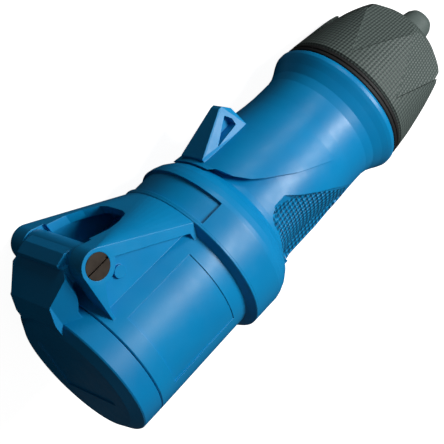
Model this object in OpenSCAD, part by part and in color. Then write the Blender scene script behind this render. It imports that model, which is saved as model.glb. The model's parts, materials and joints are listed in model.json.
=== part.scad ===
// Cable connector (socket outlet) of the round pin and sleeve type, 32 A,
// two poles and earth, with a sprung hinged lid and a multi-grip cable gland.
// It is drawn along the X axis: the lid points to -X, the gland nut to +X, and
// x = 0 is the seam between the front housing and the grip. The hinge is on
// the +Z side. laid() then puts the whole connector down on its side.

/* [Front housing] */
// Radius of the ring where the front housing meets the grip
ring_r = 36; // [35:0.1:38]
// Radius of the shroud at its front edge
shroud_front_r = 32.4; // [31.8:0.1:33.5]
// Radius of the shroud where it meets the ring
shroud_rear_r = 31.8; // [31.4:0.1:33]
// Inner radius of the shroud, round the plug's collar
shroud_bore_r = 29.2; // [28.5:0.1:29.6]
// Length of the shroud in front of the seam
shroud_len = 52.9; // [46:0.5:60]
// Width of the ring's plain rim
ring_rim = 0.7; // [0.4:0.1:1.5]
// Length of the ring's sloping front face
ring_slope = 2.1; // [1:0.1:3.5]
// Thickness of the floor that the contact carrier passes through
floor_t = 8; // [5:0.5:10]
// Length of the spigot that plugs into the grip
spigot_len = 12; // [10:0.5:14]
// Wall of the spigot
spigot_wall = 2.6; // [2:0.1:3]
// Width of the keyway in the shroud
keyway_w = 9; // [7:0.5:11]
// Depth of the keyway in the shroud
keyway_d = 1.6; // [1:0.1:2]
// Depth of the label panels on the shroud's flanks
flank_depth = 0.5; // [0.2:0.1:0.8]

/* [Hinge bracket] */
// Distance of the hinge pin in front of the seam
hinge_back = 42.5; // [38:0.5:44]
// Height of the hinge pin above the axis
hinge_z = 43; // [42:0.5:46]
// Radius of the bracket's ears
ear_r = 7; // [6.5:0.1:8]
// Half width of the bracket over its ears
ear_y = 25; // [23:0.5:27]
// Half width of the gap between the ears
ear_gap_y = 16.6; // [15:0.1:18]
// Thickness of the bracket's top plate and ribs
rib_t = 4; // [3:0.1:5]
// Depth of the triangular pockets in the bracket's sides
pocket_d = 3; // [1:0.1:4]
// Half width of the window in the top plate
window_y = 14.8; // [14.4:0.1:16]
// Distance of the window's blunt end in front of the seam
window_end = 14.4; // [12:0.2:20]

/* [Hinge pin and spring] */
// Radius of the hinge pin
pin_r = 2.5; // [2:0.1:3]
// Radius of the pin's slotted head
pin_head_r = 5.3; // [4.5:0.1:5.8]
// Thickness of the pin's head
pin_head_t = 2.1; // [1.5:0.1:3]
// Width of the driver slot
pin_slot_w = 1.1; // [0.8:0.1:1.6]
// Angle of the driver slot as it was left
pin_slot_angle = 0; // [0:1:180]
// Radius of the spring's wire
spring_wire_r = 0.6; // [0.4:0.05:0.8]
// Turns in the spring's coil
spring_turns = 6; // [4:1:7]

/* [Lid] */
// Seam between the lid and the shroud's front edge
lid_gap = 0.4; // [0.3:0.1:0.8]
// Length of the lid's side band
lid_band = 9.3; // [8:0.1:12]
// Length of the bevel between the band and the flat face
lid_bevel = 2.9; // [2:0.1:4]
// Radius of the lid's flat face
lid_face_r = 27.5; // [25:0.5:29]
// Thickness of the lid's face
lid_wall = 3; // [2:0.1:4]
// Half width of the lid's arm at its front
arm_front_y = 14; // [12:0.1:14.4]
// Half width of the lid's arm at its back
arm_rear_y = 18.5; // [16:0.1:20]
// Radius of the lid's hinge barrel
barrel_r = 6.5; // [6:0.1:6.9]
// Width and height of the recessed panel in the lid's face
panel_w = 33; // [20:0.5:36]
panel_h = 25; // [16:0.5:28]
// Depth of that panel
panel_d = 0.6; // [0.3:0.1:1]
// Thickness of the lid's sealing ring
gasket_t = 2.2; // [1.5:0.1:3]

/* [Contacts] */
// Radius of the circle that the contacts stand on
contact_circle_r = 14.5; // [13.5:0.1:15.5]
// Bore radius of the phase and neutral sleeves, for 6 mm pins
line_bore_r = 3.05; // [3.02:0.01:3.1]
// Bore radius of the earth sleeve, for an 8 mm pin
earth_bore_r = 4.05; // [4.02:0.01:4.1]
// Wall of a contact sleeve
sleeve_wall = 1.35; // [1:0.05:1.6]
// Length of a sleeve's bore
sleeve_bore_len = 34; // [28:0.5:38]
// How far the sleeves sit behind the carrier's front face
sleeve_set_back = 1.6; // [1:0.1:3]
// Radius of the carrier's nose, inside the plug's collar
nose_r = 23.6; // [22.5:0.1:24]
// How far the carrier's front face sits inside the shroud
nose_set_back = 7; // [4:0.5:12]
// Thickness of the carrier's face, where the pins enter
carrier_face_t = 7; // [5:0.5:10]
// Wall of the carrier behind its face
carrier_wall = 2.4; // [2:0.1:2.8]

/* [Grip] */
// Length of the grip from the seam to its rear face
grip_len = 94.5; // [90:0.5:100]
// Length of the grip's front band
band_len = 12.6; // [12.3:0.1:14]
// Radius of the waist between the hand pads
waist_r = 24.3; // [23.5:0.1:26]
// Distance of the waist behind the seam
waist_x = 42; // [38:0.5:46]
// Radius of the grip's body below the saddle
body_r = 28.4; // [27.5:0.1:29]
// Radius of the grip in front of its rear flange
rear_r = 26.8; // [26:0.1:27.5]
// Radius of the rear flange
flange_r = 31.2; // [30:0.1:32.5]
// Wall of the grip
grip_wall = 2.8; // [2:0.1:3]
// Depth of the recess in the top of the front band
recess_d = 1.2; // [0.5:0.1:1.4]
// Angle from the hinge side to each end of that recess
recess_half_angle = 47; // [40:1:50]
// Height of the saddle's lip at its front
saddle_lip = 1.8; // [1:0.1:3]
// Height of the fin above the axis
fin_z = 41; // [38:0.5:42]
// Thickness of the fin's middle web
fin_web = 2; // [1.5:0.1:3]

/* [Gland] */
// Radius of the threaded neck behind the grip
neck_r = 26.3; // [25.5:0.1:26.6]
// Length of the neck
neck_len = 20; // [18:0.5:22]
// Wall of the neck
neck_wall = 3.2; // [2.5:0.1:4]
// Length of the black sealing ring between grip and nut
seal_ring_len = 3.8; // [3:0.1:5]
// Radius of the black sealing ring
seal_ring_r = 30.6; // [29.5:0.1:31]
// Radius of the nut's front edge
nut_r = 30.4; // [29.8:0.1:31]
// Radius of the nut where its end rounds off
nut_rear_r = 27.4; // [26.8:0.1:28.5]
// Length of the nut
nut_len = 43.4; // [42:0.2:46]
// Number of smooth facets round the nut
facets = 7; // [6:1:8]
// Slope of the facets against the axis
facet_slope = 12; // [11:0.5:14]
// Radius of the nipple where it leaves the nut
nipple_r = 8.7; // [7.5:0.1:9.5]
// Length of the nipple outside the nut
nipple_len = 13.4; // [10:0.2:18]

/* [Clearances] */
// Radial running clearance of the hinge barrel on its pin
run_clear = 0.07; // [0.03:0.01:0.1]
// Radial clearance of the nut on the neck
thread_clear = 0.1; // [0.05:0.01:0.1]
// Gap between parts that move past each other
move_gap = 0.4; // [0.3:0.05:0.5]
// Radial clearance of parts that are assembled and stay put
seat_clear = 0.1; // [0.05:0.01:0.15]

/* [Hidden] */
$fn = 96;
eps = 0.01;
far = 80;
housing_blue = "#0a7fbe";
gland_grey = "#53605f";
contact_brass = "#c9a24b";
steel_grey = "#8c8f92";
seal_black = "#15171a";
insert_black = "#232629";

hinge_x = -hinge_back;
shroud_front_x = -shroud_len;
lid_rear_x = shroud_front_x - lid_gap;
lid_band_x = lid_rear_x - lid_band;
lid_face_x = lid_band_x - lid_bevel;
ring_slope_x = -ring_rim - ring_slope;
spigot_r = ring_r - grip_wall - seat_clear;
grip_bore_r = spigot_r + seat_clear;
floor_hole_r = nose_r + seat_clear;
barrel_y = ear_gap_y - move_gap;
nose_x = shroud_front_x + nose_set_back;
sleeve_x = nose_x + sleeve_set_back;
flange_x = grip_len - 1.2;
saddle_x = band_len + 9.4;
rear_x = grip_len - 18.5;
seal_ring_x = grip_len + seal_ring_len;
nut_x = seal_ring_x + 0.3;
nut_round_x = nut_x + 29;
nut_end_x = nut_x + nut_len;
nipple_end_x = nut_end_x + nipple_len;

// Lying on its side, the connector touches the floor with one ear of the
// bracket, the rear edge of the grip's front band and the edge of the rear flange.
rest_pitch = atan((ring_r - flange_r) / (flange_x - band_len));
rest_drop = ring_r * cos(rest_pitch) + band_len * sin(rest_pitch);
ear_reach = norm([ear_y, hinge_z + ear_r]);
ear_lift = rest_drop + hinge_back * sin(rest_pitch);
rest_roll = atan(ear_y / (hinge_z + ear_r)) + acos(ear_lift / (ear_reach * cos(rest_pitch))) - 180;
mid_x = (nipple_end_x + lid_face_x) / 2;

module laid() {
    translate([-mid_x, 0, rest_drop])
        rotate([0, rest_pitch, 0])
            rotate([rest_roll, 0, 0])
                children();
}

// A turned solid about the X axis from [radius, x] points.
module turned(points) {
    rotate([0, 90, 0]) rotate_extrude() polygon(points);
}

// A round bar along X from x0 to x1.
module bar_x(r, x0, x1) {
    translate([x0, 0, 0]) rotate([0, 90, 0]) cylinder(r = r, h = x1 - x0);
}

// A round bar along Y from y0 to y1, at the hinge.
module hinge_bar(r, y0, y1) {
    translate([hinge_x, y0, hinge_z]) rotate([-90, 0, 0]) cylinder(r = r, h = y1 - y0);
}

// A side view outline of [x, z] points, as wide as from y0 to y1.
module side_slab(points, y0, y1) {
    translate([0, y1, 0]) rotate([90, 0, 0]) linear_extrude(y1 - y0) polygon(points);
}

// Turns its children from the hinge side round the axis, towards +Y.
module at_angle(a) {
    rotate([-a, 0, 0]) children();
}

// Both a thing and its mirror image in the plane of symmetry.
module both_sides() {
    children();
    mirror([0, 1, 0]) children();
}

// A wedge of space round the axis from angle a0 to a1, less than half a turn.
module sector(a0, a1, x0, x1) {
    middle = (a0 + a1) / 2;
    spread = tan((a1 - a0) / 2) * far;
    at_angle(middle) translate([x0, 0, 0]) rotate([90, 0, 90])
        linear_extrude(x1 - x0) polygon([[0, 0], [spread, far], [-spread, far]]);
}

// --- Front housing -------------------------------------------------------

seal_groove = [[spigot_r, 4.6], [spigot_r - 1.5, 4.6], [spigot_r - 1.5, 7.2], [spigot_r, 7.2]];

module shroud_and_ring() {
    turned(concat(
        [[shroud_bore_r, shroud_front_x], [shroud_front_r - 0.5, shroud_front_x],
         [shroud_front_r, shroud_front_x + 0.5], [shroud_rear_r, ring_slope_x],
         [ring_r - 0.3, -ring_rim - 0.3], [ring_r, -ring_rim], [ring_r, 0], [spigot_r, 0]],
        seal_groove,
        [[spigot_r, spigot_len], [spigot_r - spigot_wall, spigot_len],
         [spigot_r - spigot_wall, 0], [floor_hole_r, 0],
         [floor_hole_r, -floor_t], [shroud_bore_r, -floor_t]]));
}

// The wedge-shaped block of the bracket, before it is hollowed.
module bracket_block() {
    hull() {
        hinge_bar(ear_r, -ear_y, ear_y, $fn = 48);
        intersection() {
            bar_x(ring_r - 0.3, -ring_rim - 0.8, -ring_rim, $fn = 72);
            translate([-5, -ear_y + 0.8, 18]) cube([10, 2 * ear_y - 1.6, 30]);
        }
        translate([hinge_x - ear_r + 0.2, -ear_y + 0.8, 19]) cube([2, 2 * ear_y - 1.6, 5]);
    }
}

// The gap between the ears, running back under the top plate.
module bracket_hollow() {
    plate_drop = (hinge_z + ear_r - ring_r) / hinge_back;
    plate_from_hinge = barrel_r + move_gap;
    plate_front_z = hinge_z + ear_r - plate_from_hinge * plate_drop - rib_t;
    plate_x = hinge_x + plate_from_hinge;
    back = hinge_back / 4;
    side_slab([[-far, 0], [-far, far], [plate_x, far], [plate_x, plate_front_z],
        [-back, ring_r + back * plate_drop - rib_t], [-back, 0]], -ear_gap_y, ear_gap_y);
}

module bracket_window() {
    near = hinge_x + barrel_r;
    linear_extrude(far) polygon([[near, window_y], [-27, window_y + 0.1], [-21, 12.6],
        [-window_end - 1.2, 8.6], [-window_end, 5], [-window_end, -5], [-window_end - 1.2, -8.6],
        [-21, -12.6], [-27, -window_y - 0.1], [near, -window_y]]);
}

// The triangular pocket between the top rib, the front rib and the shroud.
module side_pocket() {
    difference() {
        side_slab([[hinge_x - 2.2, 34.2], [hinge_x + 6.3, 41.6], [-4.6, 24], [-4.6, 12],
            [hinge_x - 5.4, 12], [hinge_x - 5.6, 25]], -far, -ear_y + pocket_d + 0.8);
        hinge_bar(ear_r + 0.6, -far, 0);
        translate([hinge_x + ear_r, -ear_y + pocket_d - 0.4, hinge_z - 10]) rotate([-90, 0, 0])
            cylinder(r = 2.6, h = 2);
    }
}

module flank_panel() {
    intersection() {
        difference() {
            bar_x(far, -45, -10);
            bar_x((shroud_front_r + shroud_rear_r) / 2 - flank_depth, -far, far);
        }
        sector(-119, -54, -45, -10);
    }
}

module bayonet_lugs(extra) {
    for (a = [90, 180, 270]) intersection() {
        difference() {
            bar_x(spigot_r + 1.1 + extra, 9.4 - extra, spigot_len + extra);
            bar_x(spigot_r - 0.6, 0, 20);
        }
        sector(a - 9 - extra * 8, a + 9 + extra * 8, 0, 20);
    }
}

module front_housing() {
    color(housing_blue) laid() difference() {
        union() {
            difference() {
                bracket_block();
                bracket_hollow();
                bracket_window();
                both_sides() side_pocket();
                bar_x(shroud_bore_r + 1, -far, 0);
            }
            shroud_and_ring();
            bayonet_lugs(0);
        }
        bar_x(shroud_bore_r, shroud_front_x - 1, -floor_t);
        both_sides() flank_panel();
        translate([shroud_front_x - 1, -keyway_w / 2, -shroud_bore_r - keyway_d])
            cube([shroud_len - 18, keyway_w, 8]);
        hinge_bar(pin_r + run_clear, -far, ear_y - 3);
        hinge_bar(pin_head_r + seat_clear, -far, -ear_y + pin_head_t);
        for (a = [90, 270]) at_angle(a) translate([0, 0, screw_circle_r])
            bar_x(screw_r, -6.4, 1);
    }
}

// --- Contact carrier and contacts ----------------------------------------

screw_r = 1.4;
screw_circle_r = (floor_hole_r + spigot_r - spigot_wall) / 2;
carrier_flange_t = 3;
carrier_flange_r = spigot_r - spigot_wall - 0.3;
// Angle, bore radius of each contact
line_angles = [60, -60];
earth_angle = 180;
block_len = 16;
block_x = carrier_flange_t + 3;

function sleeve_r(bore) = bore + sleeve_wall;
function pocket_r(bore) = sleeve_r(bore) + 0.9;

module contact_pocket(a, bore) {
    at_angle(a) translate([0, 0, contact_circle_r]) {
        bar_x(pocket_r(bore), sleeve_x - 0.1, 12);
        bar_x(bore + 0.3, nose_x - 1, sleeve_x);
    }
}

// The hollow behind the carrier's face, round the tubes that hold the contacts.
module carrier_hollow() {
    difference() {
        bar_x(nose_r - carrier_wall, nose_x + carrier_face_t, far);
        for (a = line_angles) at_angle(a) translate([0, 0, contact_circle_r])
            bar_x(pocket_r(line_bore_r) + carrier_wall / 2, -far, far);
        at_angle(earth_angle) translate([0, 0, contact_circle_r])
            bar_x(pocket_r(earth_bore_r) + carrier_wall / 2, -far, far);
    }
}

module contact_carrier() {
    color(insert_black) laid() difference() {
        turned([[0, nose_x], [nose_r - 0.8, nose_x], [nose_r, nose_x + 0.8], [nose_r, 0],
            [carrier_flange_r, 0], [carrier_flange_r, carrier_flange_t],
            [22.5, carrier_flange_t], [22.5, block_x], [0, block_x]]);
        carrier_hollow();
        for (a = line_angles) contact_pocket(a, line_bore_r);
        contact_pocket(earth_angle, earth_bore_r);
        for (a = [90, 270]) at_angle(a) translate([0, 0, screw_circle_r])
            bar_x(screw_r + 0.2, -1, 5);
    }
}

// A sleeve with its terminal block: bored at the front for the pin and at the
// back for the wire, with a tapped hole for the terminal screw.
module contact(a, bore) {
    r = sleeve_r(bore);
    color(contact_brass) laid() at_angle(a) translate([0, 0, contact_circle_r]) difference() {
        union() {
            turned([[0, sleeve_x], [r - 0.4, sleeve_x], [r, sleeve_x + 0.4],
                [r, sleeve_x + 3], [r - 0.3, sleeve_x + 3], [r - 0.3, sleeve_x + 6],
                [r, sleeve_x + 6], [r, block_x], [pocket_r(bore) + 0.6, block_x],
                [pocket_r(bore) + 0.6, block_x + block_len], [0, block_x + block_len]]);
        }
        bar_x(bore, sleeve_x - 1, sleeve_x + sleeve_bore_len);
        bar_x(2.6, block_x + 3, far);
        for (x = [5, 11]) translate([block_x + x, 0, 0]) cylinder(r = 1.6, h = 12);
    }
}

module phase_contact() { contact(line_angles[0], line_bore_r); }
module neutral_contact() { contact(line_angles[1], line_bore_r); }
module earth_contact() { contact(earth_angle, earth_bore_r); }

// A spring ring round the mouth of each sleeve.
module contact_springs() {
    color(steel_grey) laid() {
        for (s = [[line_angles[0], line_bore_r], [line_angles[1], line_bore_r],
                [earth_angle, earth_bore_r]])
            at_angle(s[0]) translate([0, 0, contact_circle_r]) difference() {
                bar_x(sleeve_r(s[1]) + 0.3, sleeve_x + 3.1, sleeve_x + 5.9);
                bar_x(sleeve_r(s[1]) - 0.3, sleeve_x, sleeve_x + 9);
                translate([sleeve_x, -0.5, 0]) cube([9, 1, 12]);
            }
    }
}

module terminal_screws() {
    color(steel_grey) laid() {
        for (s = [[line_angles[0], line_bore_r], [line_angles[1], line_bore_r],
                [earth_angle, earth_bore_r]], x = [5, 11])
            at_angle(s[0]) translate([block_x + x, 0, contact_circle_r + 2.6 + 0.5]) difference() {
                cylinder(r = 1.6, h = pocket_r(s[1]) - 0.4);
                translate([-3, -0.4, pocket_r(s[1]) - 1.2]) cube([6, 0.8, 2]);
            }
    }
}

// The plates that the terminal screws press on the wire.
module clamp_plates() {
    color(steel_grey) laid() {
        for (a = concat(line_angles, [earth_angle]))
            at_angle(a) translate([block_x + 3.4, -1.1, contact_circle_r + 1.8])
                cube([block_len - 4, 2.2, 0.5]);
    }
}

module carrier_screws() {
    color(steel_grey) laid() {
        for (a = [90, 270]) at_angle(a) translate([0, 0, screw_circle_r]) difference() {
            union() {
                bar_x(screw_r, -6, carrier_flange_t);
                bar_x(2.6, carrier_flange_t, carrier_flange_t + 1.8);
            }
            translate([carrier_flange_t + 1, -3, -0.4]) cube([2, 6, 0.8]);
        }
    }
}

module body_seal() {
    color(seal_black) laid() turned([[spigot_r - 1.5, 4.7], [grip_bore_r, 5.2],
        [grip_bore_r, 6.6], [spigot_r - 1.5, 7.1]]);
}

// --- Lid, hinge pin and spring -------------------------------------------

coil_r = pin_r + run_clear + spring_wire_r + 0.7;
coil_pitch = 2 * spring_wire_r + 0.3;
spring_room_r = coil_r + spring_wire_r + 0.8;
spring_room_y = (spring_turns / 2 + 0.5) * coil_pitch + 2 * spring_wire_r;
gasket_out_r = shroud_front_r - 0.6;
gasket_in_r = shroud_bore_r - 1.2;

module lid_disc() {
    turned([[0, lid_face_x], [lid_face_r, lid_face_x], [shroud_front_r - 0.4, lid_band_x - 0.3],
        [shroud_front_r, lid_band_x + 0.3], [shroud_front_r, lid_rear_x],
        [gasket_out_r, lid_rear_x], [gasket_out_r, lid_rear_x - gasket_t],
        [gasket_in_r, lid_rear_x - gasket_t], [gasket_in_r, lid_rear_x],
        [gasket_in_r - 2.4, lid_rear_x], [gasket_in_r - 2.4, lid_face_x + lid_wall],
        [0, lid_face_x + lid_wall]]);
}

// The arm from the lid's top edge up to its barrel.
module lid_arm() {
    intersection() {
        side_slab([[lid_face_x + 0.3, 26], [lid_face_x + 0.3, 31], [lid_face_x + 2.2, 37.8],
            [hinge_x - 8.4, hinge_z + 3.7], [hinge_x, hinge_z + 3], [hinge_x, hinge_z - 3],
            [hinge_x - 6.8, hinge_z - 2.8], [hinge_x - 9.6, hinge_z - 3.4],
            [hinge_x - 11.9, 33.3], [hinge_x - 13.4, 30.4], [hinge_x - 13.4, 26]], -far, far);
        linear_extrude(far) polygon([[lid_face_x - 1, arm_front_y],
            [lid_face_x + 3, arm_front_y], [hinge_x - 11, arm_rear_y],
            [hinge_x - 8.4, barrel_y], [hinge_x, barrel_y],
            [hinge_x, -barrel_y], [hinge_x - 8.4, -barrel_y],
            [hinge_x - 11, -arm_rear_y], [lid_face_x + 3, -arm_front_y],
            [lid_face_x - 1, -arm_front_y]]);
    }
}

// The thumb lip along the top of the arm.
module lid_lip() {
    side_slab([[hinge_x - 9.2, hinge_z + 4.2], [hinge_x - 9.0, hinge_z + 5.8],
        [hinge_x - 4, hinge_z + 7.2], [hinge_x, hinge_z + barrel_r - 0.05],
        [hinge_x - 3, hinge_z + 3], [hinge_x - 8, hinge_z + 3.2]], -arm_front_y, arm_front_y);
}

module lid() {
    color(housing_blue) laid() difference() {
        union() {
            lid_disc();
            difference() {
                union() {
                    lid_arm();
                    lid_lip();
                }
                bar_x(shroud_front_r - 3, -far, 0);
                bar_x(gasket_out_r, lid_rear_x - gasket_t, 0);
            }
            hinge_bar(barrel_r, -barrel_y, barrel_y);
            // The lug that holds a plug in
            translate([lid_face_x + lid_wall - eps, -5, 17]) cube([5, 10, 4]);
        }
        hinge_bar(pin_r + run_clear, -far, far);
        // The spring's room inside the barrel, open at the back
        hinge_bar(spring_room_r, -spring_room_y, spring_room_y);
        translate([hinge_x, -spring_room_y, hinge_z - 2 * barrel_r])
            cube([2 * barrel_r, 2 * spring_room_y, 2 * barrel_r]);
        translate([lid_face_x - 1, -panel_w / 2, -panel_h / 2 + 1])
            cube([1 + panel_d, panel_w, panel_h]);
    }
}

module lid_gasket() {
    color(seal_black) laid() turned([[gasket_in_r, lid_rear_x - gasket_t],
        [gasket_out_r, lid_rear_x - gasket_t], [gasket_out_r, lid_rear_x - 0.1],
        [gasket_out_r - 0.8, lid_rear_x + 0.1], [gasket_in_r + 0.8, lid_rear_x + 0.1],
        [gasket_in_r, lid_rear_x - 0.1]]);
}

module hinge_pin() {
    color("#3a3533") laid() difference() {
        union() {
            hinge_bar(pin_r, -ear_y + pin_head_t - eps, ear_y - 3.2);
            hinge_bar(pin_head_r, -ear_y - 0.1, -ear_y + pin_head_t);
        }
        translate([hinge_x, -ear_y - 0.6, hinge_z]) rotate([0, pin_slot_angle, 0])
            translate([-8, 0, -pin_slot_w / 2]) cube([16, 1.5, pin_slot_w]);
    }
}

// A tube of even wire swept along a list of points, from side rings.
module wire(path, r, sides) {
    n = len(path);
    function along(i) = let(d = path[min(i + 1, n - 1)] - path[max(i - 1, 0)]) d / norm(d);
    function ring(i) = let(t = along(i), u0 = cross(t, [0.31, 0.17, 0.93]), u = u0 / norm(u0),
        v = cross(t, u)) [for (k = [0:sides - 1])
        path[i] + r * (cos(360 * k / sides) * u + sin(360 * k / sides) * v)];
    points = [for (i = [0:n - 1]) each ring(i)];
    walls = [for (i = [0:n - 2], k = [0:sides - 1]) let(a = i * sides + k,
        b = i * sides + (k + 1) % sides) [a, b, b + sides, a + sides]];
    caps = [[for (k = [sides - 1:-1:0]) k], [for (k = [0:sides - 1]) (n - 1) * sides + k]];
    polyhedron(points, concat(walls, caps));
}

function coil_point(i) = let(a = i * 18)
    [hinge_x - coil_r * cos(a), (i / 20 - spring_turns / 2) * coil_pitch, hinge_z + coil_r * sin(a)];

module lid_spring() {
    leg_floor_z = sqrt(pow(shroud_rear_r + 0.6, 2) - 25) + spring_wire_r;
    steps = spring_turns * 20 + 10;
    last = coil_point(steps);
    path = concat([for (i = [0:steps]) coil_point(i)],
        [[last[0] + 0.3, last[1] + 0.3, hinge_z - 3], [last[0] + 0.3, last[1] + 0.3, leg_floor_z]]);
    color(steel_grey) laid() wire(path, spring_wire_r, 6);
}

// --- Grip ------------------------------------------------------------------

// A place along the grip, as a share of the way from the saddle's front to the rear.
function grip_at(share) = saddle_x + share * (rear_x - saddle_x);

rear_points = [[rear_r, rear_x], [rear_r, grip_len - 14.5], [rear_r + 0.7, grip_len - 10.5],
    [rear_r + 2.4, grip_len - 6.7], [flange_r - 0.6, grip_len - 4.1],
    [flange_r, grip_len - 2.7], [flange_r, flange_x], [flange_r - 1, grip_len],
    [neck_r, grip_len], [neck_r, grip_len + neck_len], [0, grip_len + neck_len]];

// The body below the saddle.
module body_form() {
    turned(concat([[0, 0], [ring_r, 0], [ring_r, band_len], [ring_r - 0.4, band_len + 2],
        [ring_r - 1.5, band_len + 5], [ring_r - 3.4, band_len + 8], [ring_r - 5.6, band_len + 10],
        [body_r + 0.5, band_len + 11.4], [body_r, band_len + 14], [body_r - 0.1, grip_at(0.52)],
        [body_r - 0.9, grip_at(0.74)], [rear_r + 0.1, grip_at(0.89)]], rear_points));
}

// The saddle's raised shell over the top of the body.
module saddle_form() {
    turned([[0, saddle_x], [ring_r - 3.6, saddle_x], [body_r + saddle_lip + 1.6, saddle_x + 2],
        [body_r + saddle_lip + 0.7, grip_at(0.185)], [body_r + 0.8, grip_at(0.52)],
        [body_r - 0.5, grip_at(0.7)], [rear_r + 0.1, grip_at(0.85)], [rear_r - 0.6, grip_at(0.93)],
        [0, grip_at(0.93)]]);
}

// The region above the saddle's sweeping lower edge, in side view.
module saddle_region() {
    // Share of the grip's length, share of the body's radius
    edge = [[0, 1.07], [0.044, 1.02], [0.074, 0.88], [0.15, 0.725], [0.24, 0.61], [0.34, 0.5],
        [0.474, 0.338], [0.635, 0.19], [0.815, 0.014], [0.94, -0.1]];
    side_slab(concat([[grip_at(0), far]], [for (p = edge) [grip_at(p[0]), p[1] * body_r]],
        [[grip_at(0.94), far]]), -far, far);
}

// The waisted form that shows on the hand pads.
module waist_form() {
    front = waist_x - saddle_x;
    rear = rear_x - waist_x;
    turned([[0, saddle_x - 2], [waist_r + 3.2, saddle_x + 2], [waist_r + 1.6, waist_x - 0.7 * front],
        [waist_r + 0.5, waist_x - 0.4 * front], [waist_r, waist_x],
        [waist_r + 0.5, waist_x + 0.235 * rear], [waist_r + 1.5, waist_x + 0.47 * rear],
        [waist_r + 2.5, waist_x + 0.765 * rear], [waist_r + 2.7, rear_x + 2], [0, rear_x + 4]]);
}

// A leaf-shaped pad as seen square on to the flank, cut down to the waist.
module pad_scoop() {
    difference() {
        at_angle(-115) translate([grip_at(0.444), 0, waist_r - 2.3])
            linear_extrude(10, scale = 1.35) scale([grip_at(1) - grip_at(0), body_r]) pad_outline();
        waist_form();
    }
}

// Outline of the pad about its middle, in shares of the grip's length and radius.
module pad_outline() {
    polygon([[-0.319, -0.42], [-0.326, 0], [-0.315, 0.35], [-0.287, 0.62], [-0.24, 0.7],
        [-0.176, 0.64], [-0.056, 0.444], [0.185, 0.106], [0.344, -0.162], [0.463, -0.387],
        [0.222, -0.6], [0, -0.7], [-0.222, -0.67]]);
}

module fin_form() {
    difference() {
        hull() {
            translate([24.6, -6.8, 28]) cube([2, 13.6, 4.6]);
            translate([44.4, -2.6, fin_z - 3.4]) cube([1.6, 5.2, 3.4]);
            translate([48.6, -2.2, fin_z - 5.4]) cube([1, 4.4, 1.6]);
            translate([49.6, -5.2, 27]) cube([1, 10.4, 1]);
        }
        both_sides() side_slab([[33.6, 31.2], [44.6, fin_z - 3.4], [46.6, fin_z - 6.4], [46.4, 31.8]],
            fin_web / 2, 20);
    }
}

module grip_hollow() {
    inner = waist_r - grip_wall;
    turned([[0, -1], [grip_bore_r, -1], [grip_bore_r, spigot_len + 0.4],
        [grip_bore_r - 2.4, spigot_len + 1.4], [inner, band_len + 13], [inner, grip_len - 6],
        [neck_r - neck_wall, grip_len - 3], [neck_r - neck_wall, grip_len + neck_len + 1],
        [0, grip_len + neck_len + 1]]);
}

module band_recess() {
    intersection() {
        difference() {
            bar_x(far, 1, band_len - 0.3);
            bar_x(ring_r - recess_d, -1, far);
        }
        sector(-recess_half_angle, recess_half_angle, 0, far);
    }
}

module grip_housing() {
    color(housing_blue) laid() difference() {
        union() {
            difference() {
                union() {
                    body_form();
                    intersection() {
                        saddle_form();
                        saddle_region();
                    }
                }
                pad_scoop();
                mirror([0, 1, 0]) pad_scoop();
            }
            fin_form();
            // Stops for the fingers at the front of each pad
            both_sides() at_angle(-143) translate([24.4, -2, waist_r])
                cube([3, 4, 5]);
        }
        grip_hollow();
        band_recess();
        bayonet_lugs(0.3);
    }
}

// --- Gland -------------------------------------------------------------------

module gland_ring() {
    lip = seal_ring_r;
    inner = neck_r + seat_clear / 2;
    color(seal_black) laid() turned([[inner, grip_len], [lip - 0.5, grip_len],
        [lip, grip_len + 0.5], [lip, grip_len + 1.5], [lip - 0.5, grip_len + 1.9],
        [lip, grip_len + 2.3], [lip - 0.1, seal_ring_x - 0.5], [lip - 0.6, seal_ring_x],
        [inner, seal_ring_x]]);
}

cage_r = neck_r - neck_wall - seat_clear;
cage_end_x = grip_len + neck_len + 4;
washer_r = cage_r - 1;
washer_x = nut_end_x - 16;
// The nut's inner cone that squeezes the seal, as [radius, x] of its ends
cone_front = [nipple_r + 6.5, washer_x + 0.3];
cone_rear = [nipple_r + 0.8, nut_end_x - 6];

// The slotted cage that grips the cable when the nut is tightened.
module clamp_cage() {
    start = grip_len + 3;
    color(insert_black) laid() difference() {
        turned([[cage_r - 3, start], [cage_r, start], [cage_r, grip_len + neck_len],
            [cage_r - 0.8, cage_end_x], [cage_r - 3.8, cage_end_x],
            [cage_r - 3, grip_len + neck_len]]);
        for (a = [0:45:315]) at_angle(a)
            translate([start + 6, -1.2, 0]) cube([far, 2.4, 40]);
    }
}

module cable_seal() {
    root = cage_r - 3.9;
    start = grip_len + neck_len - 6;
    thin = 2;
    color(gland_grey) laid() difference() {
        turned([[0, start], [root, start], [root, cage_end_x - 1],
            [cone_front[0] - 2 - move_gap, cone_front[1] + 2.7], cone_rear - [move_gap, 0],
            [nipple_r, cone_rear[1] + 1], [nipple_r, nut_end_x], [nipple_r - 0.9, nut_end_x + 3],
            [nipple_r - 2.3, nipple_end_x - 3.6], [nipple_r - 3.4, nipple_end_x - 1.6],
            [nipple_r - 6, nipple_end_x - 0.3], [0, nipple_end_x]]);
        turned([[0, start - 1], [root - thin, start - 1], [root - thin, cage_end_x - 2],
            [nipple_r + 2, washer_x + 3], [nipple_r - thin, nut_end_x - 3],
            [nipple_r - thin - 2, nipple_end_x - 4], [0, nipple_end_x - 3]]);
    }
}

// The washer slides with the nut but doesn't turn with it.
module thrust_washer() {
    color(steel_grey) laid() difference() {
        bar_x(washer_r - 2, washer_x - 1.6, washer_x);
        bar_x(nipple_r + 7.5, washer_x - 9, washer_x + 9);
    }
}

// A wedge cut for one smooth facet, from its pointed tip to the nut's end.
module facet_cut() {
    translate([nut_x + 3.6, 0, nut_r - 1.1]) rotate([0, facet_slope, 0])
        linear_extrude(20) polygon([[0, 0], [60, 25.5], [60, -25.5]]);
}

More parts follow.
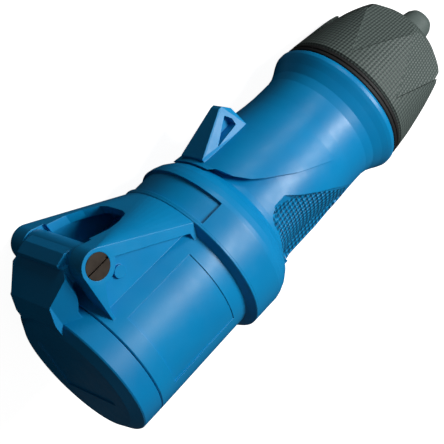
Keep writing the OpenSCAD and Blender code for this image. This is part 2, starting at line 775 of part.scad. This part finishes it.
module gland_nut() {
    color(gland_grey) laid() difference() {
        turned([[0, nut_x], [nut_r - 0.6, nut_x], [nut_r, nut_x + 0.8],
            [nut_rear_r, nut_round_x], [nut_rear_r - 1.2, nut_round_x + 3.2],
            [nut_rear_r - 3.6, nut_round_x + 6.8], [nut_rear_r - 8, nut_round_x + 10.6],
            [nut_rear_r - 13.6, nut_end_x - 1.1], [nipple_r + 0.8, nut_end_x], [0, nut_end_x]]);
        for (i = [0:facets - 1]) at_angle(-34.7 + i * 360 / facets) facet_cut();
        turned([[0, nut_x - 1], [neck_r + thread_clear, nut_x - 1],
            [neck_r + thread_clear, grip_len + neck_len + 1],
            [cage_r + move_gap, cage_end_x + move_gap], [washer_r, cage_end_x + move_gap],
            [washer_r, washer_x + 0.3], cone_front, cone_rear,
            [nipple_r + 0.4, cone_rear[1] + 1], [nipple_r + 0.4, nut_end_x + 1], [0, nut_end_x + 1]]);
    }
}

front_housing();
contact_carrier();
phase_contact();
neutral_contact();
earth_contact();
contact_springs();
terminal_screws();
clamp_plates();
carrier_screws();
body_seal();
lid();
lid_gasket();
hinge_pin();
lid_spring();
grip_housing();
gland_ring();
clamp_cage();
cable_seal();
thrust_washer();
gland_nut();
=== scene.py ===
"""The looks of an in-line pin and sleeve connector: its mouldings, seals, metal and light.

The connector's own axes run through the whole script: `along` points from the lid to the
gland nut, `across` along the hinge pin, and `up` from the axis to the hinge. They come
from the joints in the frame. Lengths in millimetres go through mm().
"""

import json
import math

import bpy
from mathutils import Matrix, Vector


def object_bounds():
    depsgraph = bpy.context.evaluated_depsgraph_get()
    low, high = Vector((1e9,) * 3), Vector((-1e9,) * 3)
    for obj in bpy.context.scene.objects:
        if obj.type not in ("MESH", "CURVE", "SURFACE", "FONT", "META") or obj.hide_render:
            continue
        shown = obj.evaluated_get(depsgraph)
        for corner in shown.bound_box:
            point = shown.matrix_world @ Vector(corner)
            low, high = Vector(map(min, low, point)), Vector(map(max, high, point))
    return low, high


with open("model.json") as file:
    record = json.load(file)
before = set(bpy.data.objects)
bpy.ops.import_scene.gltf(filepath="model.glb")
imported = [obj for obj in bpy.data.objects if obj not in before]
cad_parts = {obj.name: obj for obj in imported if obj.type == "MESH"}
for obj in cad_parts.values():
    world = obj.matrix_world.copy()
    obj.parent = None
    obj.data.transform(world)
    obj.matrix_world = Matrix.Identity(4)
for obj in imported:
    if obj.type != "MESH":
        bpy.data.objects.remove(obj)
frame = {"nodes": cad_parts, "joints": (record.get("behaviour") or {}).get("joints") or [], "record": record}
cad_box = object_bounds()


def mm(length):
    return length / 1000


# --- the connector's own axes ---------------------------------------------------------------

HINGE_FORWARD = 42.5      # mm from the seam behind the front housing to the hinge pin
HINGE_HEIGHT = 43         # mm from the axis to the hinge pin

joints = {joint["name"]: joint for joint in frame["joints"]}
hinge_at = Vector(joints["lid_hinge"]["pos_m"])
along = Vector(joints["nut_turn"]["axis"]).normalized()
across = Vector(joints["lid_hinge"]["axis"]).normalized()
up = along.cross(across)
seam = hinge_at + mm(HINGE_FORWARD) * along - mm(HINGE_HEIGHT) * up
own_axes = Matrix((along, across, up)).transposed()


def at(x, y, z):
    """A place given in the connector's own axes, in millimetres, as a place in the scene."""
    return seam + own_axes @ Vector((mm(x), mm(y), mm(z)))


# --- camera ---------------------------------------------------------------------------------

IMAGE_WIDTH = 444
FOCAL_PIXELS = 1500
SENSOR_MM = 36
CAMERA_AIM = (23.6, 5.8, -3.0)    # mm, in the connector's own axes
CAMERA_DISTANCE = 611.7           # mm
CAMERA_ANGLES = (-155.54, 36.32, -121.87)    # degrees: azimuth, elevation and roll


def add_camera():
    """Looks down on the connector from behind its hinge, turned so that the lid is low left."""
    data = bpy.data.cameras.new("camera")
    data.sensor_width = SENSOR_MM
    data.lens = SENSOR_MM * FOCAL_PIXELS / IMAGE_WIDTH
    camera = bpy.data.objects.new("camera", data)
    bpy.context.collection.objects.link(camera)
    bpy.context.scene.camera = camera
    aim = at(*CAMERA_AIM)
    distance = mm(CAMERA_DISTANCE)
    azimuth, elevation, roll = (math.radians(angle) for angle in CAMERA_ANGLES)
    back = Vector((math.sin(azimuth) * math.cos(elevation),
                   -math.cos(azimuth) * math.cos(elevation),
                   math.sin(elevation)))
    upright = (Vector((0, 0, 1)) - back.z * back).normalized()
    level = upright.cross(back)
    head = upright * math.cos(roll) + level * math.sin(roll)
    turn = Matrix((head.cross(back), head, back)).transposed().to_4x4()
    camera.matrix_world = Matrix.Translation(aim + distance * back) @ turn


# --- nodes and colours ----------------------------------------------------------------------

GIRTH_RADIUS = 28         # mm; the radius at which bumps round the axis keep their spacing


def linear(hex_colour):
    """An sRGB colour such as 0a7fbe as linear red, green, blue and alpha."""
    shares = [int(hex_colour[i:i + 2], 16) / 255 for i in (0, 2, 4)]
    return [s / 12.92 if s <= 0.04045 else ((s + 0.055) / 1.055) ** 2.4 for s in shares] + [1]


def add_node(tree, kind, inputs=None, **settings):
    """Adds a node. An input takes a value or another node, whose first output it then reads."""
    node = tree.nodes.new(kind)
    for name, value in settings.items():
        setattr(node, name, value)
    for name, value in (inputs or {}).items():
        if isinstance(value, bpy.types.Node):
            value = value.outputs[0]
        if isinstance(value, bpy.types.NodeSocket):
            tree.links.new(value, node.inputs[name])
        else:
            node.inputs[name].default_value = value
    return node


def new_material(name):
    material = bpy.data.materials.new(name)
    material.use_nodes = True
    material.node_tree.nodes.clear()
    return material, material.node_tree


def own_place(tree):
    """The shaded point in the connector's own axes, in metres, as if no joint had moved."""
    place = add_node(tree, "ShaderNodeTexCoord")
    return add_node(tree, "ShaderNodeMapping",
                    {"Vector": place.outputs["Object"], "Location": seam,
                     "Rotation": own_axes.to_euler()}, vector_type="TEXTURE")


def surface(tree, inputs):
    """Ends a material with the plastic, rubber or metal surface that inputs describe."""
    skin = add_node(tree, "ShaderNodeBsdfPrincipled", inputs)
    add_node(tree, "ShaderNodeOutputMaterial", {"Surface": skin})


def soft_edges(tree, radius):
    """The surface's normal with its sharp edges rounded, as a moulding's are."""
    return add_node(tree, "ShaderNodeBevel", {"Radius": mm(radius)}, samples=6)


def grain(tree, place, size, depth, normal):
    """A fine uneven skin: bumps `size` across and `depth` high, in millimetres."""
    noise = add_node(tree, "ShaderNodeTexNoise",
                     {"Vector": place, "Scale": 1 / mm(size), "Detail": 3.0, "Roughness": 0.6})
    return add_node(tree, "ShaderNodeBump",
                    {"Height": noise, "Distance": mm(depth), "Strength": 1.0, "Normal": normal})


def uneven(tree, place, size, low, high):
    """A value that drifts slowly between low and high over the surface."""
    noise = add_node(tree, "ShaderNodeTexNoise",
                     {"Vector": place, "Scale": 1 / mm(size), "Detail": 2.0})
    return add_node(tree, "ShaderNodeMapRange",
                    {"Value": noise, "From Min": 0.35, "From Max": 0.65,
                     "To Min": low, "To Max": high})


def stippled(tree, place, pitch, depth, normal):
    """A skin of round bumps and pits, `pitch` apart and `depth` high, in millimetres.

    Gives the bumps themselves, from -1 to 1, and the bent normal. Crossing slanted waves make
    them, measured along the axis and round it.
    """
    split = add_node(tree, "ShaderNodeSeparateXYZ", {"Vector": place})
    turn = add_node(tree, "ShaderNodeMath", {0: split.outputs["Y"], 1: split.outputs["Z"]},
                    operation="ARCTAN2")
    girth = add_node(tree, "ShaderNodeMath", {0: turn, 1: mm(GIRTH_RADIUS)}, operation="MULTIPLY")
    waves = []
    for operation in ("ADD", "SUBTRACT"):
        slant = add_node(tree, "ShaderNodeMath", {0: split.outputs["X"], 1: girth},
                         operation=operation)
        phase = add_node(tree, "ShaderNodeMath", {0: slant, 1: math.pi / mm(pitch)},
                         operation="MULTIPLY")
        waves.append(add_node(tree, "ShaderNodeMath", {0: phase}, operation="SINE"))
    bumps = add_node(tree, "ShaderNodeMath", {0: waves[0], 1: waves[1]}, operation="MULTIPLY")
    return bumps, add_node(tree, "ShaderNodeBump",
                           {"Height": bumps, "Distance": mm(depth), "Strength": 1.0,
                            "Normal": normal})


# --- materials ------------------------------------------------------------------------------

# Pitches in mm. The real ones are about 1.05 on the nut and 1.55 on the pads, too fine to
# show at the picture's size, so both are drawn coarser.
NUT_DOT_PITCH = 1.5
NUT_DOT_DEPTH = 0.16
PAD_DIMPLE_PITCH = 2.2
PAD_DIMPLE_DEPTH = 0.5
PAD_DEPTH = 40            # mm; reach of the edge's curve above and below the axis
PIT_BLUE = "00527c"       # the bottom of a dimple, where little light gets in
HOUSING_BLUES = ("008bc6", "0083be")
LID_BLUES = ("0086c2", "007fba")
# Upper edge of a hand pad's dimples: mm behind the seam, and mm above the axis
PAD_EDGE = [(25.5, 1), (28, 5), (31, 5.5), (37, 3.5), (44.5, -0.5), (52.5, -6),
            (59.5, -11.5), (67, -17)]


def pad_share(tree, place):
    """1 inside the leaf-shaped dimpled part of each hand pad and 0 outside it.

    The leaf's upper edge starts behind the shoulder and runs down to a tip near the flange.
    """
    first, last = PAD_EDGE[0][0], PAD_EDGE[-1][0]
    split = add_node(tree, "ShaderNodeSeparateXYZ", {"Vector": place})
    run = add_node(tree, "ShaderNodeMapRange",
                   {"Value": split.outputs["X"], "From Min": mm(first), "From Max": mm(last)})
    edge = add_node(tree, "ShaderNodeFloatCurve", {"Value": run})
    shape = [((x - first) / (last - first), (z + PAD_DEPTH) / (2 * PAD_DEPTH))
             for x, z in PAD_EDGE]
    points = edge.mapping.curves[0].points
    points[0].location = shape[0]
    points[-1].location = shape[-1]
    for x, z in shape[1:-1]:
        points.new(x, z)
    edge.mapping.update()
    height = add_node(tree, "ShaderNodeMapRange",
                      {"Value": split.outputs["Z"], "From Min": mm(-PAD_DEPTH),
                       "From Max": mm(PAD_DEPTH)})
    inside = add_node(tree, "ShaderNodeMath", {0: height, 1: edge}, operation="LESS_THAN")
    for limit, operation in ((first, "GREATER_THAN"), (last, "LESS_THAN")):
        test = add_node(tree, "ShaderNodeMath", {0: split.outputs["X"], 1: mm(limit)},
                        operation=operation)
        inside = add_node(tree, "ShaderNodeMath", {0: inside, 1: test}, operation="MULTIPLY")
    return inside


def moulded_polyamide(name, colour, shade, pads=False):
    """Blue polyamide, injection moulded: even colour, satin skin that smears its highlights.

    With pads, the two hand pads below the saddle are dimpled, and painted shade darkens the dimples.
    """
    material, tree = new_material(name)
    place = own_place(tree)
    tint = uneven(tree, place, 30, 0.0, 1.0)
    body = add_node(tree, "ShaderNodeMix",
                    {0: tint, 6: linear(colour), 7: linear(shade)}, data_type="RGBA")
    normal = grain(tree, place, 0.5, 0.012, soft_edges(tree, 0.35))
    skin = {"Base Color": body.outputs[2]}
    if pads:
        holes, dented = stippled(tree, place, PAD_DIMPLE_PITCH, PAD_DIMPLE_DEPTH, normal)
        pad = pad_share(tree, place)
        normal = add_node(tree, "ShaderNodeMix",
                          {0: pad, 4: normal, 5: dented}, data_type="VECTOR").outputs[1]
        # Painted shade: the bottom of each dimple is mixed towards PIT_BLUE.
        pit = add_node(tree, "ShaderNodeMapRange",
                       {"Value": holes, "From Min": -0.5, "From Max": 0.3})
        shaded_pit_colour = add_node(tree, "ShaderNodeMix",
                        {0: pit, 6: linear(PIT_BLUE), 7: linear(colour)}, data_type="RGBA")
        skin = {"Base Color": add_node(tree, "ShaderNodeMix",
                                       {0: pad, 6: body.outputs[2], 7: shaded_pit_colour.outputs[2]},
                                       data_type="RGBA").outputs[2]}
    surface(tree, {**skin, "Roughness": uneven(tree, place, 6, 0.34, 0.42),
                   "IOR": 1.53, "Specular IOR Level": 0.3, "Normal": normal})
    return material


def plain_moulding(name, colour, roughness):
    """Black or grey thermoplastic as it leaves the mould, with a faint grain."""
    material, tree = new_material(name)
    place = own_place(tree)
    normal = grain(tree, place, 0.6, 0.015, soft_edges(tree, 0.2))
    surface(tree, {"Base Color": linear(colour), "IOR": 1.5,
                   "Roughness": uneven(tree, place, 8, roughness - 0.05, roughness + 0.05),
                   "Normal": normal})
    return material


def seal_rubber(name, colour, roughness):
    """Moulded elastomer: nearly no shine and a dry, slightly dusty skin."""
    material, tree = new_material(name)
    place = own_place(tree)
    normal = grain(tree, place, 0.9, 0.02, soft_edges(tree, 0.3))
    surface(tree, {"Base Color": linear(colour), "IOR": 1.5,
                   "Roughness": uneven(tree, place, 10, roughness - 0.06, roughness + 0.04),
                   "Normal": normal})
    return material


def metal(name, colour, roughness):
    """Turned or drawn metal with the faint marks of its making."""
    material, tree = new_material(name)
    place = own_place(tree)
    normal = grain(tree, place, 0.3, 0.004, soft_edges(tree, 0.1))
    surface(tree, {"Base Color": linear(colour), "Metallic": 1.0, "Normal": normal,
                   "Roughness": uneven(tree, place, 3, roughness - 0.06, roughness + 0.06)})
    return material


def stippled_nut(name, colour, hollow_shade_grey):
    """Grey polyamide with a skin of fine raised dots, and painted shade in the hollows between them."""
    material, tree = new_material(name)
    place = own_place(tree)
    bumps, normal = stippled(tree, place, NUT_DOT_PITCH, NUT_DOT_DEPTH, soft_edges(tree, 0.3))
    # Painted shade: the hollows between the dots are mixed towards the darker grey.
    skin = add_node(tree, "ShaderNodeMapRange",
                    {"Value": bumps, "From Min": -0.6, "From Max": 0.6})
    tone = add_node(tree, "ShaderNodeMix",
                    {0: skin, 6: linear(hollow_shade_grey), 7: linear(colour)}, data_type="RGBA")
    surface(tree, {"Base Color": tone.outputs[2], "Roughness": 0.55, "IOR": 1.5,
                   "Normal": normal})
    return material


MATERIALS = {
    "housing_blue": moulded_polyamide("moulded_blue_polyamide", *HOUSING_BLUES),
    "grip_blue": moulded_polyamide("moulded_blue_grip", *HOUSING_BLUES, pads=True),
    "lid_blue": moulded_polyamide("moulded_blue_lid", *LID_BLUES),
    "insert_black": plain_moulding("black_thermoset", "1c1e20", 0.45),
    "contact_brass": metal("turned_brass", "c9a24b", 0.28),
    "spring_steel": metal("drawn_spring_steel", "9c9ea0", 0.25),
    "plated_steel": metal("zinc_plated_steel", "a9abad", 0.3),
    "pin_steel": metal("browned_steel", "4a433d", 0.5),
    "seal_rubber": seal_rubber("black_seal_rubber", "060708", 0.7),
    "seal_grey": seal_rubber("grey_seal_rubber", "56625f", 0.55),
    "washer_plastic": plain_moulding("natural_acetal", "c8c8c2", 0.4),
    "nut_grey": stippled_nut("stippled_grey_polyamide", "57645f", "3e4847"),
}

record_slots = {part["node"]: part["material_slot"] for part in frame["record"]["subparts"]}
for name, part in frame["nodes"].items():
    part.data.materials.clear()
    part.data.materials.append(MATERIALS["grip_blue" if name == "grip_housing"
                                         else record_slots[name]])


# --- floor, light and background ------------------------------------------------------------

FLOOR_SIZE = 6            # m
FLOOR_GLOW = 0.95         # the sheet's brightness as the camera sees it
ROOM_LIGHT = 0.1          # the white room's strength as light; as seen it is 1
# Each lamp's place from the middle of the CAD's box, its width and height, and its watts
SOFTBOXES = {
    "top_box": ((0.45, 0.3, 0.7), 0.3, 0.3, 8.0),
    "hinge_side_box": ((0.5, 0.7, 0.0), 0.4, 0.3, 1.8),
}


def add_floor():
    """A pale sheet under the connector that is seen as white and throws little light back."""
    low = cad_box[0]
    bpy.ops.mesh.primitive_plane_add(size=FLOOR_SIZE, location=(0, 0, low.z))
    floor = bpy.context.object
    floor.name = "floor"
    material, tree = new_material("white_sheet")
    rays = add_node(tree, "ShaderNodeLightPath")
    paper = add_node(tree, "ShaderNodeBsdfDiffuse", {"Color": linear("bcbcbc")})
    glow = add_node(tree, "ShaderNodeEmission",
                    {"Color": linear("ffffff"), "Strength": FLOOR_GLOW})
    lit = add_node(tree, "ShaderNodeAddShader", {0: paper, 1: glow})
    dull = add_node(tree, "ShaderNodeBsdfDiffuse", {"Color": linear("3c3c3c")})
    mixed = add_node(tree, "ShaderNodeMixShader",
                     {"Fac": rays.outputs["Is Camera Ray"], 1: dull, 2: lit})
    add_node(tree, "ShaderNodeOutputMaterial", {"Surface": mixed})
    floor.data.materials.append(material)


def add_softbox(name, place, aim, width, height, watts):
    """A soft rectangular lamp at place that shines on aim. Sizes in metres."""
    data = bpy.data.lights.new(name, "AREA")
    data.shape = "RECTANGLE"
    data.size = width
    data.size_y = height
    data.energy = watts
    lamp = bpy.data.objects.new(name, data)
    bpy.context.collection.objects.link(lamp)
    lamp.location = place
    lamp.rotation_mode = "QUATERNION"
    lamp.rotation_quaternion = (Vector(aim) - Vector(place)).to_track_quat("-Z", "Y")


def add_world():
    """A white room as seen, and a dim one as light."""
    world = bpy.data.worlds.new("room")
    bpy.context.scene.world = world
    world.use_nodes = True
    tree = world.node_tree
    tree.nodes.clear()
    rays = add_node(tree, "ShaderNodeLightPath")
    shown = add_node(tree, "ShaderNodeMath",
                     {0: rays.outputs["Is Camera Ray"], 1: rays.outputs["Is Transmission Ray"]},
                     operation="MAXIMUM")
    strength = add_node(tree, "ShaderNodeMapRange",
                        {"Value": shown, "To Min": ROOM_LIGHT, "To Max": 1.0})
    room = add_node(tree, "ShaderNodeBackground",
                    {"Color": linear("ffffff"), "Strength": strength})
    add_node(tree, "ShaderNodeOutputWorld", {"Surface": room})


add_camera()
add_floor()
add_world()
middle = (cad_box[0] + cad_box[1]) / 2
for name, (offset, width, height, watts) in SOFTBOXES.items():
    add_softbox(name, middle + Vector(offset), middle, width, height, watts)

scene = bpy.context.scene
scene.view_settings.view_transform = "Standard"
